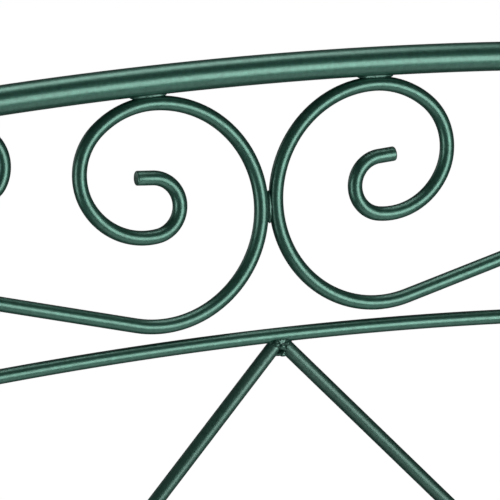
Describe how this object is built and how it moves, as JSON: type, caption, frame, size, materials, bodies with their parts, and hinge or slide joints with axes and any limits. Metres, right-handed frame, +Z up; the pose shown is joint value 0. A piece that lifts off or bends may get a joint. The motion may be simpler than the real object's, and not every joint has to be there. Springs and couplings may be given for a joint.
{
  "type": "arched garden trellis",
  "caption": "Free-standing arched metal trellis: tube frame on two staked posts, C-scroll frieze between arched rails and a welded diamond lattice for climbing plants.",
  "frame": {"origin": "on the ground line, midway between the posts, in the plane of the frame's centrelines", "axes": "+X along the panel to the right seen from the front, +Y to the back, +Z up"},
  "size_m": [1.5096, 0.0277, 2.2694],
  "materials": {
    "frame_green": "satin dark green powder coat",
    "zinc_fastener": "zinc plated"
  },
  "bodies": {
    "root": {"connector_middle_left": "frame_green", "connector_middle_right": "frame_green", "connector_top_left": "frame_green", "connector_top_right": "frame_green", "foot_rod": "frame_green", "ground_stake_left": "frame_green", "ground_stake_right": "frame_green", "inner_rod": "frame_green", "joint_bolts": "zinc_fastener", "joint_nuts": "zinc_fastener", "lattice_left_1_1": "frame_green", "lattice_left_2_1": "frame_green", "lattice_left_2_2": "frame_green", "lattice_left_2_3": "frame_green", "lattice_left_3_1": "frame_green", "lattice_left_3_2": "frame_green", "lattice_left_3_3": "frame_green", "lattice_left_3_4": "frame_green", "lattice_left_3_5": "frame_green", "lattice_left_4_1": "frame_green", "lattice_left_4_2": "frame_green", "lattice_left_4_3": "frame_green", "lattice_left_4_4": "frame_green", "lattice_left_4_5": "frame_green", "lattice_left_5_1": "frame_green", "lattice_left_5_2": "frame_green", "lattice_left_5_3": "frame_green", "lattice_left_6_1": "frame_green", "lattice_right_1": "frame_green", "lattice_right_2": "frame_green", "lattice_right_3": "frame_green", "lattice_right_4": "frame_green", "lattice_right_5": "frame_green", "lattice_right_6": "frame_green", "post_lower_left": "frame_green", "post_lower_right": "frame_green", "post_upper_left": "frame_green", "post_upper_right": "frame_green", "scroll_left_pair_left": "frame_green", "scroll_left_pair_right": "frame_green", "scroll_middle_pair_left": "frame_green", "scroll_middle_pair_right": "frame_green", "scroll_right_pair_left": "frame_green", "scroll_right_pair_right": "frame_green", "top_tube": "frame_green", "weld_apexes": "frame_green", "weld_crossings": "frame_green", "weld_foot_joints": "frame_green", "weld_lattice_posts": "frame_green", "weld_rod_ends": "frame_green", "weld_scroll_crowns": "frame_green", "weld_scroll_pairs": "frame_green", "weld_scroll_sides": "frame_green", "weld_small_curls": "frame_green"}
  },
  "joints": []
}
